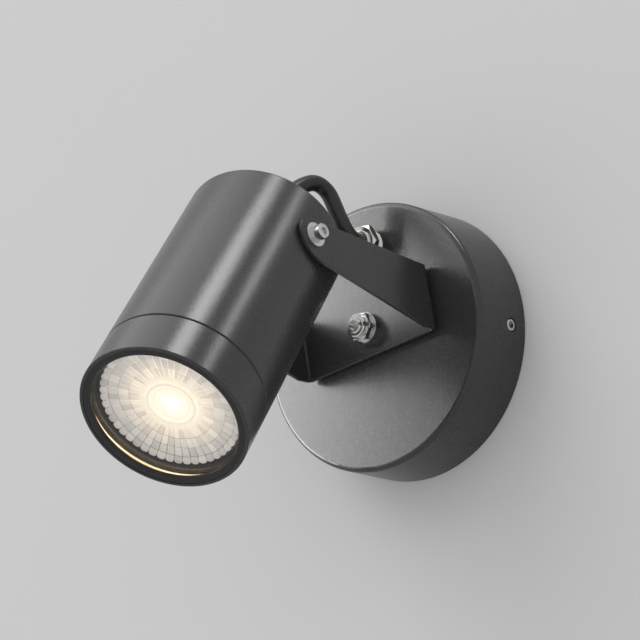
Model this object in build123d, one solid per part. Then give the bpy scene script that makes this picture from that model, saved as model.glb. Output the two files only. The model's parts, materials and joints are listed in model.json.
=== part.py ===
from build123d import *
import os
from math import cos, radians, sin, sqrt, tan

# Pivoting spotlight wall light. The origin is the centre of the back of the wall gasket, on the wall.
# +Z is up, -Y points out of the wall and +X is to the right of someone who faces the wall.
# All lengths are in millimetres and all angles in degrees.

# How the light is set
swivel_angle = 11.2
tilt_angle = 50.0

# Lamp with two bayonet pins. The head tube is made to fit round it.
lamp_diameter = 50.0
lamp_length = 54.0
lamp_lens_depth = 5.9
lamp_lens_thickness = 3.4
lamp_lens_rim = 0.6
lamp_facets = 48
lamp_facet_rings = ((22.5, 0.9), (19.0, 0.5), (15.2, 0.35), (11.6, 0.3))
lamp_groove_width = 0.36
lamp_groove_depth = 0.22
lamp_notch_width = 1.7
lamp_notch_depth = 1.3
lamp_boss_diameter = 18.0
lamp_boss_height = 0.7
lamp_boss_wall = 1.2
lamp_band = 3.0
lamp_bowl_depth = 28.0
lamp_bowl_bulge = 5.0
lamp_neck_diameter = 25.0
lamp_pin_diameter = 5.0
lamp_pin_stem_diameter = 3.0
lamp_pin_head = 1.6
lamp_pin_length = 7.0
lamp_pin_pitch = 10.0

# Head tube
lamp_air_gap = 0.8
head_wall = 4.2
head_front_reach = 85.55
head_rear_reach = 17.85
head_rear_wall = 3.0
head_rear_radius = 1.2

# Bezel that screws on the spigot of the head tube
bezel_length = 17.9
bezel_seam = 0.35
bezel_edge_break = 0.4
bezel_rim_wall = 1.2
spigot_step = 2.0
spigot_length = 8.9
thread_clearance = 0.07
oring_section = 1.4
oring_place = 2.6
glass_thickness = 3.0
glass_fit = 0.1
glass_edge_break = 0.3
glass_gasket_thickness = 1.0
bezel_shoulder_width = 2.2
bezel_shoulder_thickness = 3.0
cover_ring_width = 2.65
cover_ring_thickness = 1.35
cover_ring_recess = 0.2
cover_ring_edge_break = 0.4

# Yoke, folded from one strip
yoke_gap = 0.3
yoke_thickness = 1.5
yoke_bend_radius = 2.8
yoke_base_low = -11.2
yoke_base_high = 14.2
yoke_lower_corner_reach = 8.5
yoke_upper_corner_reach = 4.6
yoke_tip_margin = 6.3
yoke_tip_below = 7.25
yoke_tip_above = 7.05
yoke_tip_low_radius = 10.5
yoke_tip_high_radius = 5.4
yoke_edge_break = 0.25
pivot_reach = 65.2
pivot_rise = 12.95

# Pivot screws
pivot_screw_diameter = 3.0
pivot_head_diameter = 5.6
pivot_head_height = 3.0
pivot_head_edge = 0.3
pivot_socket_flats = 2.5
pivot_socket_depth = 1.5
pivot_washer_diameter = 9.0
pivot_washer_thickness = 0.8
pivot_spring_diameter = 6.2
pivot_spring_thickness = 0.8
pivot_boss_diameter = 10.0
pivot_boss_depth = 6.0
pivot_tip_inset = 1.0
running_clearance = 0.08
washer_clearance = 0.1

# Canopy, a turned cup with a slight draft
canopy_diameter = 103.6
canopy_draft = 0.4
canopy_depth = 26.85
canopy_side_wall = 2.0
canopy_face_wall = 2.5
canopy_edge_radius = 2.0
canopy_inner_radius = 1.0

# Wall plate and gasket
gasket_thickness = 1.0
gasket_clearance = 0.3
plate_thickness = 1.5
plate_gap = 5.4
slot_inset = 14.0
slot_width = 5.0
slot_length = 12.0
cable_hole_diameter = 16.0
cable_hole_drop = 24.0
entry_diameter = 9.0
grommet_lip = 1.8
grommet_lip_thickness = 1.5

# Grub screws that hold the canopy on the ears of the wall plate
grub_diameter = 5.0
grub_length = 8.0
grub_height = 8.0
grub_recess = 0.3
grub_edge_break = 0.4
grub_socket_flats = 2.5
grub_socket_depth = 2.5
grub_clearance = 0.2
ear_width = 13.0
ear_gap = 2.2
ear_rise = 13.5

# Terminal block and earth screw
block_width = 27.0
block_length = 16.0
block_height = 12.0
block_edge_break = 1.0
block_up = 17.5
block_pitch = 8.0
block_wire_height = 5.4
block_wire_diameter = 3.6
block_screw_diameter = 3.0
block_screw_inset = 4.0
block_screw_sunk = 1.0
block_fixing_diameter = 3.0
block_fixing_head_diameter = 6.0
block_fixing_head_height = 1.5
earth_across = 24.0
earth_up = -20.0
earth_diameter = 4.0
earth_head_diameter = 8.0
earth_head_height = 3.0
earth_head_edge = 1.0
driver_slot_width = 0.8
driver_slot_depth = 0.7

# Swivel joint: bolt, washers and nut
swivel_height = 2.5
swivel_bolt_diameter = 6.0
swivel_bolt_end_break = 0.6
swivel_flats = 10.0
swivel_bolt_head_height = 4.0
swivel_nut_height = 5.0
swivel_bolt_showing = 0.9
swivel_washer_diameter = 12.0
swivel_washer_thickness = 1.6
swivel_spring_thickness = 1.6
spacer_diameter = 18.0
spacer_thickness = 1.1

# Lampholder and the strap that carries it
pin_clearance = 0.1
pin_hole_floor = 0.5
holder_diameter = 28.0
holder_height = 15.0
holder_edge_break = 1.0
strap_thickness = 1.0
strap_width = 12.0
strap_top_length = 26.0
strap_gap = 1.3
strap_foot = 9.0
strap_screw_diameter = 4.0
strap_screw_grip = 2.0
holder_screw_diameter = 3.0
holder_screw_grip = 5.0
holder_screw_pitch = 18.0

# Cable glands, the same on the canopy and on the head
gland_inset = 16.6
gland_thread_diameter = 12.0
gland_thread_showing = 3.0
gland_hex_step = 1.0
gland_hex_height = 3.2
gland_nose_diameter = 9.6
gland_nose_height = 0.8
gland_nose_edge = 0.4
gland_bore = 9.0
gland_inner_length = 8.0
gland_locknut_step = 3.0
gland_locknut_height = 2.5

# Lead between the two glands
lead_diameter = 6.2
lead_clearance = 0.05
lead_arc_share = 0.45
lead_start = 0.5
lead_rise = 9.6
lead_end = 1.0
lead_from_head = 26.8
lead_bends = ((6.0, 35.2, 13.7), (5.2, 43.5, 16.0), (4.4, 51.0, 17.8), (3.6, 54.2, 23.5), (2.0, 51.8, 30.2))

# Proportions of a pan-head screw, in diameters of its shank
pan_width = 2.0
pan_height = 0.6
pan_edge = 0.3
cross_length = 1.2
cross_width = 0.25
cross_depth = 0.5

# Proportions of hexagons and spring washers
hex_face_share = 0.96
hex_cone_angle = 30.0
spring_cut_slant = 30.0
spring_cut_share = 0.5

# How far a cutting solid runs past the face that it cuts
past = 1.0

# Frames: in each one, local Z points away from the wall or towards the lamp's front
wall = Plane(origin=(0, 0, 0), x_dir=(1, 0, 0), z_dir=(0, -1, 0)).location
swivel = wall * Pos(0, swivel_height, canopy_depth) * Rot(0, 0, swivel_angle)
head = swivel * Pos(0, pivot_rise, pivot_reach) * Rot(tilt_angle, 0, 0)
from_base = (Align.CENTER, Align.CENTER, Align.MIN)
from_edge = (Align.CENTER, Align.MIN)
sides = (-1, 1)


def rod(diameter, low, high):
    return Pos(0, 0, low) * Cylinder(diameter / 2, high - low, align=from_base)


def ring(outer, inner, low, high):
    return rod(outer, low, high) - rod(inner, low, high)


def block(width, length, low, high):
    return Pos(0, 0, low) * Box(width, length, high - low, align=from_base)


def turned(outline):
    """Solid of revolution about local Z, from its outline as pairs of radius and height."""
    return revolve(Plane.XZ * make_face(Polyline(*outline, close=True)), Axis.Z)


def top_edges(shape):
    return shape.edges().group_by(Axis.Z)[-1]


def bottom_edges(shape):
    return shape.edges().group_by(Axis.Z)[0]


def hexagon(flats, low, high, chamfered_ends=()):
    """Hexagonal prism with its corners on local X, turned down to a cone at the named ends."""
    corner = flats / sqrt(3)
    prism = Pos(0, 0, low) * extrude(RegularPolygon(corner, 6), high - low)
    face_radius = hex_face_share * flats / 2
    outer_radius = corner + past
    cone_drop = (outer_radius - face_radius) * tan(radians(hex_cone_angle))
    for end in chamfered_ends:
        other_end = low + high - end
        shoulder = end + cone_drop * (1 if end == low else -1)
        outline = [(0, end), (face_radius, end), (outer_radius, shoulder)]
        prism = prism & turned(outline + [(outer_radius, other_end), (0, other_end)])
    return prism


def hex_socket(flats, depth, top):
    return hexagon(flats, top - depth, top + past)


def driver_slot(length, top):
    return Pos(0, 0, top) * Box(length, driver_slot_width, 2 * driver_slot_depth)


def facing_x(side):
    """Location whose Z points along local X, away from the middle, on the given side."""
    return Rot(0, 90 * side, 0)


def spring_washer(diameter, hole, low, thickness):
    """Split ring: one turn with a narrow slanted cut."""
    washer = ring(diameter, hole, low, low + thickness)
    slant = Pos(diameter / 2, 0, low + thickness / 2) * Rot(spring_cut_slant, 0, 0)
    return washer - slant * Box(diameter, spring_cut_share * thickness, 3 * thickness)


# ---------------------------------------------------------------- canopy and wall parts
canopy_back_radius = canopy_diameter / 2
canopy_front_radius = canopy_back_radius - canopy_draft
canopy_inner_depth = canopy_depth - canopy_face_wall
front_bore = canopy_front_radius - canopy_side_wall
back_bore = canopy_back_radius - canopy_side_wall
radius_at_grub = canopy_back_radius - canopy_draft * grub_height / canopy_depth
plate_top = gasket_thickness + plate_thickness
plate_radius = front_bore - plate_gap
slot_spacing = 2 * (plate_radius - slot_inset)
ear_face = front_bore - ear_gap
gland_height = canopy_front_radius - gland_inset
washer_hole = swivel_bolt_diameter + 2 * washer_clearance


def make_canopy():
    front = canopy_front_radius
    cup = turned([(0, 0), (canopy_back_radius, 0), (front, canopy_depth), (0, canopy_depth)])
    cup = fillet(top_edges(cup), canopy_edge_radius)
    floor = canopy_inner_depth
    hollow = turned([(0, -past), (back_bore, -past), (back_bore, 0), (front_bore, floor), (0, floor)])
    cup -= fillet(top_edges(hollow), canopy_inner_radius)
    cup -= Pos(0, swivel_height, 0) * rod(washer_hole, 0, canopy_depth + past)
    cup -= Pos(0, gland_height, 0) * rod(gland_thread_diameter, 0, canopy_depth + past)
    for side in sides:
        screw_hole = rod(grub_diameter + 2 * grub_clearance, ear_face, canopy_back_radius + past)
        cup -= Pos(0, 0, grub_height) * facing_x(side) * screw_hole
    return cup


def cut_slots(sheet):
    for side in sides:
        slot = extrude(SlotOverall(slot_length, slot_width), plate_top + 2 * past)
        sheet -= Pos(side * slot_spacing / 2, 0, -past) * slot
    return sheet


def make_wall_gasket():
    sheet = rod(2 * (back_bore - gasket_clearance), 0, gasket_thickness)
    sheet -= Pos(0, -cable_hole_drop, 0) * rod(cable_hole_diameter + 2 * grommet_lip, -past, plate_top)
    return cut_slots(sheet)


def make_wall_plate():
    plate = rod(2 * plate_radius, gasket_thickness, plate_top)
    for side in sides:
        tab_length = ear_face - plate_radius / 2
        tab = block(tab_length, ear_width, gasket_thickness, plate_top)
        plate += Pos(side * (ear_face - tab_length / 2), 0, 0) * tab
        ear = block(plate_thickness, ear_width, gasket_thickness, gasket_thickness + ear_rise)
        plate += Pos(side * (ear_face - plate_thickness / 2), 0, 0) * ear
        screw_hole = rod(grub_diameter, ear_face - 2 * plate_thickness, ear_face + past)
        plate -= Pos(0, 0, grub_height) * facing_x(side) * screw_hole
    plate -= Pos(0, -cable_hole_drop, 0) * rod(cable_hole_diameter, 0, plate_top + past)
    plate -= Pos(earth_across, earth_up, 0) * rod(earth_diameter, 0, plate_top + past)
    plate -= Pos(0, block_up, 0) * rod(block_fixing_diameter, 0, plate_top + past)
    return cut_slots(plate)


def make_entry_grommet():
    """Rubber bush that lines the cable hole of the wall plate, with a lip on each face of the plate."""
    hole = cable_hole_diameter / 2
    lip = hole + grommet_lip
    top = plate_top + grommet_lip_thickness
    bore = entry_diameter / 2
    outline = [(bore, 0), (lip, 0), (lip, gasket_thickness), (hole, gasket_thickness), (hole, plate_top)]
    outline += [(lip, plate_top), (hole, top), (bore, top)]
    return Pos(0, -cable_hole_drop, 0) * turned(outline)


def make_grub_screws():
    tip = radius_at_grub - grub_recess
    screw = rod(grub_diameter, tip - grub_length, tip)
    screw = chamfer(top_edges(screw), grub_edge_break)
    screw -= hex_socket(grub_socket_flats, grub_socket_depth, tip)
    return [Pos(0, 0, grub_height) * facing_x(side) * screw for side in sides]


block_top = plate_top + block_height
block_wire_level = plate_top + block_wire_height
block_poles = (-1, 0, 1)
block_screw_up = block_length / 2 - block_screw_inset
terminal_places = [(pole * block_pitch, end * block_screw_up) for pole in block_poles for end in sides]


def make_terminal_block():
    body = block(block_width, block_length, plate_top, block_top)
    body = chamfer(top_edges(body), block_edge_break)
    for pole in block_poles:
        wire_way = Rot(90, 0, 0) * Cylinder(block_wire_diameter / 2, block_length + 2 * past)
        body -= Pos(pole * block_pitch, 0, block_wire_level) * wire_way
    for across, up in terminal_places:
        body -= Pos(across, up, 0) * rod(block_screw_diameter, block_wire_level, block_top + past)
    body -= rod(block_fixing_diameter, plate_top - past, block_top + past)
    return Pos(0, block_up, 0) * body


def make_terminal_screws():
    top = block_top - block_screw_sunk
    screw = rod(block_screw_diameter, block_wire_level, top)
    screw -= driver_slot(block_screw_diameter + past, top)
    return [Pos(across, block_up + up, 0) * screw for across, up in terminal_places]


def make_block_screw():
    top = block_top + block_fixing_head_height
    shank = rod(block_fixing_diameter, gasket_thickness, block_top)
    cap = rod(block_fixing_head_diameter, block_top, top)
    slot = driver_slot(block_fixing_head_diameter + past, top)
    return Pos(0, block_up, 0) * (shank + cap - slot)


def make_earth_screw():
    top = plate_top + earth_head_height
    shank = rod(earth_diameter, gasket_thickness, plate_top)
    cap = rod(earth_head_diameter, plate_top, top)
    cap = fillet(top_edges(cap), earth_head_edge)
    slot = driver_slot(earth_head_diameter + past, top)
    return Pos(earth_across, earth_up, 0) * (shank + cap - slot)


# ---------------------------------------------------------------- swivel joint
spacer_top = canopy_depth + spacer_thickness
yoke_face = spacer_top + yoke_thickness
nut_seat = yoke_face + swivel_washer_thickness
nut_top = nut_seat + swivel_nut_height
bolt_end = nut_top + swivel_bolt_showing
bolt_head_seat = canopy_inner_depth - swivel_spring_thickness


def at_swivel(shape):
    return Pos(0, swivel_height, 0) * shape


def make_swivel_bolt():
    shank = rod(swivel_bolt_diameter, bolt_head_seat, bolt_end)
    shank = chamfer(top_edges(shank), swivel_bolt_end_break)
    bolt_head = hexagon(swivel_flats, bolt_head_seat - swivel_bolt_head_height, bolt_head_seat)
    return at_swivel(shank + bolt_head)


def make_swivel_spring_washer():
    washer = spring_washer(swivel_washer_diameter, washer_hole, bolt_head_seat, swivel_spring_thickness)
    return at_swivel(washer)


def make_swivel_nut():
    nut = hexagon(swivel_flats, nut_seat, nut_top, (nut_seat, nut_top))
    return at_swivel(nut - rod(swivel_bolt_diameter, nut_seat - past, nut_top + past))


# ---------------------------------------------------------------- head: sizes that fit round the lamp
head_bore = lamp_diameter + 2 * lamp_air_gap
head_diameter = head_bore + 2 * head_wall
head_radius = head_diameter / 2
spigot_diameter = head_diameter - 2 * spigot_step
seam_height = head_front_reach - bezel_length
spigot_top = seam_height + spigot_length
rear_inside = head_rear_wall - head_rear_reach
lens_front = head_front_reach - lamp_lens_depth
lens_back = lens_front - lamp_lens_thickness
lamp_end = lens_front - lamp_length
lamp_foot = lamp_end + lamp_pin_length
strap_top = lamp_foot - holder_height
strap_half_span = head_bore / 2 - strap_gap - strap_foot
strap_screw_across = strap_half_span + strap_foot / 2

# ---------------------------------------------------------------- yoke
yoke_width = head_diameter + 2 * (yoke_gap + yoke_thickness)
yoke_tip_reach = pivot_reach + yoke_tip_margin
yoke_tip_low = pivot_rise - yoke_tip_below
yoke_tip_high = pivot_rise + yoke_tip_above


def folded_strip():
    """U-shaped channel that is deeper and longer than the yoke, with rounded bends."""
    depth = 2 * yoke_tip_reach
    outside = Pos(0, spacer_thickness) * Rectangle(yoke_width, depth, align=from_edge)
    outside = fillet(outside.vertices().group_by(Axis.Y)[0], yoke_bend_radius)
    inside = Pos(0, spacer_thickness + yoke_thickness)
    inside *= Rectangle(yoke_width - 2 * yoke_thickness, depth, align=from_edge)
    inside = fillet(inside.vertices().group_by(Axis.Y)[0], yoke_bend_radius - yoke_thickness)
    return extrude(Plane.XZ * (outside - inside), depth, both=True)


def side_outline():
    """Outline of the yoke seen from the side: it slants up and narrows towards a rounded tip."""
    outline = Polyline(
        (yoke_base_low, 0),
        (yoke_base_low, yoke_lower_corner_reach),
        (yoke_tip_low, yoke_tip_reach),
        (yoke_tip_high, yoke_tip_reach),
        (yoke_base_high, yoke_upper_corner_reach),
        (yoke_base_high, 0),
        close=True,
    )
    face = make_face(outline)
    for place, radius in ((yoke_tip_low, yoke_tip_low_radius), (yoke_tip_high, yoke_tip_high_radius)):
        corner = face.vertices().sort_by_distance((place, yoke_tip_reach, 0))[0]
        face = fillet(corner, radius)
    return face


def make_yoke():
    yoke = folded_strip() & extrude(Plane.YZ * side_outline(), yoke_width, both=True)
    yoke = fillet(yoke.edges().filter_by(lambda edge: edge.length > yoke_thickness + past), yoke_edge_break)
    yoke -= rod(swivel_bolt_diameter + 2 * running_clearance, 0, yoke_tip_reach)
    pivot_hole = Cylinder(pivot_screw_diameter / 2 + running_clearance, 2 * yoke_width)
    return yoke - Pos(0, pivot_rise, pivot_reach) * Rot(0, 90, 0) * pivot_hole


# ---------------------------------------------------------------- head
arm_face = yoke_width / 2
pivot_spring_seat = arm_face + pivot_washer_thickness
pivot_head_seat = pivot_spring_seat + pivot_spring_thickness
pivot_hole_outer = pivot_screw_diameter + 2 * washer_clearance
pivot_boss_end = head_bore / 2 - pivot_boss_depth


def make_head_tube():
    outside = rod(head_diameter, -head_rear_reach, seam_height)
    outside = fillet(bottom_edges(outside), head_rear_radius)
    outside = chamfer(top_edges(outside), bezel_seam)
    tube = outside + rod(spigot_diameter, seam_height, spigot_top)
    tube -= rod(head_bore, rear_inside, spigot_top + past)
    oring_low = seam_height + oring_place - oring_section / 2
    groove_floor = spigot_diameter - 2 * oring_section
    tube -= ring(head_diameter, groove_floor, oring_low, oring_low + oring_section)
    within = rod(head_bore, -head_rear_reach, spigot_top)
    for side in sides:
        boss = facing_x(side) * rod(pivot_boss_diameter, pivot_boss_end, head_radius)
        tube += boss & within
        tube -= facing_x(side) * rod(pivot_screw_diameter, pivot_boss_end - past, head_radius + past)
        blind_hole = rod(strap_screw_diameter, rear_inside - strap_screw_grip, rear_inside + past)
        tube -= Pos(0, side * strap_screw_across, 0) * blind_hole
    return tube - rod(gland_thread_diameter, -head_rear_reach - past, rear_inside + past)


def at_both_pivots(part):
    return [facing_x(side) * part for side in sides]


def make_pivot_screw():
    cap_top = pivot_head_seat + pivot_head_height
    cap = rod(pivot_head_diameter, pivot_head_seat, cap_top)
    cap = chamfer(top_edges(cap), pivot_head_edge)
    screw = cap + rod(pivot_screw_diameter, pivot_boss_end + pivot_tip_inset, pivot_head_seat)
    return screw - hex_socket(pivot_socket_flats, pivot_socket_depth, cap_top)


def make_pivot_spring_washer():
    return spring_washer(pivot_spring_diameter, pivot_hole_outer, pivot_spring_seat, pivot_spring_thickness)


def make_oring():
    centre = spigot_diameter / 2 - oring_section / 2
    return Pos(0, 0, seam_height + oring_place) * Torus(centre, oring_section / 2)


# ---------------------------------------------------------------- bezel and glass
bezel_recess = head_diameter - 2 * bezel_rim_wall
bezel_bore = bezel_recess - 2 * bezel_shoulder_width
cover_ring_bore = bezel_recess - 2 * cover_ring_width
glass_diameter = bezel_recess - 2 * glass_fit
glass_front = head_front_reach - cover_ring_recess - cover_ring_thickness
glass_back = glass_front - glass_thickness


def make_bezel():
    low = seam_height + bezel_seam
    shoulder_low = spigot_top + bezel_seam
    body = rod(head_diameter, low, head_front_reach)
    body = chamfer(bottom_edges(body), bezel_seam)
    body = fillet(top_edges(body), bezel_edge_break)
    body -= rod(spigot_diameter + 2 * thread_clearance, low - past, shoulder_low)
    body -= rod(bezel_bore, low, head_front_reach + past)
    return body - rod(bezel_recess, shoulder_low + bezel_shoulder_thickness, head_front_reach + past)


def make_glass():
    return chamfer(rod(glass_diameter, glass_back, glass_front).edges(), glass_edge_break)


def make_cover_ring():
    cover = ring(bezel_recess, cover_ring_bore, glass_front, glass_front + cover_ring_thickness)
    return chamfer(top_edges(cover).sort_by(SortBy.RADIUS)[0], cover_ring_edge_break)


# ---------------------------------------------------------------- lamp
def make_lamp_body():
    """Reflector lamp: a short band behind the lens, a bowl that curves in to the neck, then the neck."""
    rim = lamp_diameter / 2
    neck = lamp_neck_diameter / 2
    bowl_top = lens_back - lamp_band
    bowl_foot = bowl_top - lamp_bowl_depth
    bowl_middle = ((rim + neck) / 2 + lamp_bowl_bulge, (bowl_top + bowl_foot) / 2)
    outline = Polyline((neck, bowl_foot), (neck, lamp_foot), (0, lamp_foot), (0, lens_back), (rim, lens_back))
    outline += Line((rim, lens_back), (rim, bowl_top))
    outline += ThreePointArc((rim, bowl_top), bowl_middle, (neck, bowl_foot))
    return revolve(Plane.XZ * make_face(outline), Axis.Z)


def make_lamp_pins():
    stem = rod(lamp_pin_stem_diameter, lamp_end, lamp_foot)
    button = rod(lamp_pin_diameter, lamp_end, lamp_end + lamp_pin_head)
    return [Pos(0, side * lamp_pin_pitch / 2, 0) * (stem + button) for side in sides]


def facet_corners(radius, height):
    turns = [radians(index * 360 / lamp_facets) for index in range(lamp_facets)]
    return [Vector(radius * cos(turn), radius * sin(turn), height) for turn in turns]


def facet_step(outer, inner, top, drop):
    """Funnel of flat facets between two radii, as a solid to cut from the lens."""
    rings = [facet_corners(inner, top - drop), facet_corners(outer, top), facet_corners(outer, top + past)]
    outlines = [rings[0], rings[-1]]
    for lower, upper in zip(rings, rings[1:]):
        for index in range(lamp_facets):
            outlines.append([lower[index - 1], lower[index], upper[index], upper[index - 1]])
    return Solid(Shell([Face(Wire.make_polygon(outline)) for outline in outlines]))


def facet_groove(outer, inner, top, drop):
    """V-shaped groove along the edge between two facets, as a solid to cut from the lens."""
    slope = Vector(outer - inner, 0, drop)
    foot = Plane(origin=(inner, 0, top - drop), x_dir=(0, 1, 0), z_dir=slope)
    half = lamp_groove_width / 2
    depth = lamp_groove_depth
    outline = Polyline((0, -depth), (half, depth), (-half, depth), close=True)
    return extrude(foot * make_face(outline), slope.length)


def rim_notch():
    """V-shaped notch between two teeth of the lens's rim, as a solid to cut from the lens."""
    rim = lamp_diameter / 2
    half = lamp_notch_width / 2
    outline = Polyline((rim - lamp_notch_depth, 0), (rim, half), (rim + past, half), (rim + past, -half),
                       (rim, -half), close=True)
    return Pos(0, 0, lens_back - past) * extrude(make_face(outline), lamp_lens_thickness + 2 * past)


def make_lamp_lens():
    """Moulded lens with a toothed rim. Rings of flat facets, parted by fine grooves, step down to the
    middle, where a low round wall stands."""
    lens = rod(lamp_diameter, lens_back, lens_front)
    outer = lamp_diameter / 2 - lamp_lens_rim
    level = lens_front
    cuts = [rim_notch()]
    for inner, drop in lamp_facet_rings:
        lens -= facet_step(outer, inner, level, drop)
        cuts.append(facet_groove(outer, inner, level, drop))
        outer = inner
        level -= drop
    facet_turns = [Rot(0, 0, index * 360 / lamp_facets) for index in range(lamp_facets)]
    lens -= [turn * cut for cut in cuts for turn in facet_turns]
    boss_bore = lamp_boss_diameter - 2 * lamp_boss_wall
    return lens + ring(lamp_boss_diameter, boss_bore, level, level + lamp_boss_height)


# ---------------------------------------------------------------- lampholder
def make_lampholder():
    top = strap_top + holder_height
    holder = rod(holder_diameter, strap_top, top)
    holder = chamfer(top_edges(holder), holder_edge_break)
    for side in sides:
        pin_hole = rod(lamp_pin_diameter + 2 * pin_clearance, lamp_end - pin_hole_floor, top + past)
        holder -= Pos(0, side * lamp_pin_pitch / 2, 0) * pin_hole
        screw_hole = rod(holder_screw_diameter, strap_top - past, strap_top + holder_screw_grip)
        holder -= Pos(side * holder_screw_pitch / 2, 0, 0) * screw_hole
    return holder


def make_holder_strap():
    """Bent strap that stands on the rear wall of the tube and carries the lampholder."""
    span = 2 * strap_half_span
    rise = strap_top - rear_inside
    profile = Rectangle(span, rise, align=from_edge)
    profile -= Rectangle(span - 2 * strap_thickness, rise - strap_thickness, align=from_edge)
    for side in sides:
        foot = Rectangle(strap_foot + strap_thickness, strap_thickness, align=from_edge)
        profile += Pos(side * (strap_screw_across - strap_thickness / 2), 0) * foot
    strap = extrude(Plane.YZ * Pos(0, rear_inside) * profile, strap_width / 2, both=True)
    strap += block(strap_top_length, strap_width, strap_top - strap_thickness, strap_top)
    for side in sides:
        foot_hole = rod(strap_screw_diameter, rear_inside - past, rear_inside + strap_thickness + past)
        strap -= Pos(0, side * strap_screw_across, 0) * foot_hole
        top_hole = rod(holder_screw_diameter, strap_top - strap_thickness - past, strap_top + past)
        strap -= Pos(side * holder_screw_pitch / 2, 0, 0) * top_hole
    return strap


def pan_screw(diameter, length, seat):
    """Screw whose head stands on the height seat and whose shank runs down from it."""
    top = seat + pan_height * diameter
    cap = fillet(top_edges(rod(pan_width * diameter, seat, top)), pan_edge * diameter)
    depth = 2 * cross_depth * diameter
    cross = Box(cross_length * diameter, cross_width * diameter, depth)
    cross += Box(cross_width * diameter, cross_length * diameter, depth)
    return cap + rod(diameter, seat - length, seat) - Pos(0, 0, top) * cross


def make_strap_screws():
    screw = pan_screw(strap_screw_diameter, strap_thickness + strap_screw_grip, rear_inside + strap_thickness)
    return [Pos(0, side * strap_screw_across, 0) * screw for side in sides]


def make_holder_screws():
    length = strap_thickness + holder_screw_grip
    screw = Rot(180, 0, 0) * pan_screw(holder_screw_diameter, length, strap_thickness - strap_top)
    return [Pos(side * holder_screw_pitch / 2, 0, 0) * screw for side in sides]


# ---------------------------------------------------------------- glands
# Each gland is drawn with the outer face of the wall that it passes through at height 0.
gland_hex_flats = gland_thread_diameter + gland_hex_step
gland_hex_top = gland_thread_showing + gland_hex_height
gland_end = gland_hex_top + gland_nose_height
lead_bore = lead_diameter + 2 * lead_clearance
canopy_gland = wall * Pos(0, gland_height, canopy_depth)
head_gland = head * Pos(0, 0, -head_rear_reach) * Rot(180, 0, 0)


def make_gland_body(wall_thickness):
    return ring(gland_thread_diameter, gland_bore, -wall_thickness - gland_inner_length, gland_thread_showing)


def make_gland_cap():
    cap = hexagon(gland_hex_flats, gland_thread_showing, gland_hex_top, (gland_thread_showing, gland_hex_top))
    nose = rod(gland_nose_diameter, gland_hex_top, gland_end)
    cap += fillet(top_edges(nose), gland_nose_edge)
    return cap - rod(lead_bore, 0, gland_end + past)


def make_gland_seal(wall_thickness):
    return ring(gland_bore, lead_bore, -wall_thickness, gland_thread_showing)


def make_gland_locknut(wall_thickness):
    flats = gland_thread_diameter + gland_locknut_step
    nut = hexagon(flats, -wall_thickness - gland_locknut_height, -wall_thickness)
    return nut - rod(gland_thread_diameter, -wall_thickness - gland_locknut_height - past, 0)


# ---------------------------------------------------------------- lead
def make_lead():
    """Lead along its real route: straight runs joined by tangent arcs, from gland to gland."""
    up = gland_height - swivel_height
    gland_e = up * sin(radians(swivel_angle))
    gland_w = up * cos(radians(swivel_angle))
    tilt = radians(tilt_angle)

    def behind_head(distance):
        back = head_rear_reach + distance
        return (0, pivot_rise + back * sin(tilt), pivot_reach - back * cos(tilt))

    route = [
        (gland_e, gland_w, lead_start),
        (gland_e, gland_w, lead_rise),
        *lead_bends,
        behind_head(lead_from_head),
        behind_head(lead_end),
    ]
    points = [Vector(*place) for place in route]
    legs = [(after - before) for before, after in zip(points, points[1:])]
    radii = []
    for first, second in zip(legs, legs[1:]):
        half_turn = radians(first.get_angle(second) / 2)
        radii.append(lead_arc_share * min(first.length, second.length) / tan(half_turn))
    print("lead arc radii", [round(radius, 1) for radius in radii])
    path = FilletPolyline(*points, radius=radii)
    section = Plane(origin=points[0], z_dir=legs[0]) * Circle(lead_diameter / 2)
    tube = sweep(section, path=path)
    expected = path.length * section.area
    print("lead length", round(path.length, 1), "volume ratio", round(tube.volume / expected, 4))
    return tube


# ---------------------------------------------------------------- all nodes
def placed(frame, shapes):
    listed = shapes if isinstance(shapes, list) else [shapes]
    solids = [solid for shape in listed for solid in (frame * shape).solids()]
    return solids[0] if len(solids) == 1 else Compound(children=solids)


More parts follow.
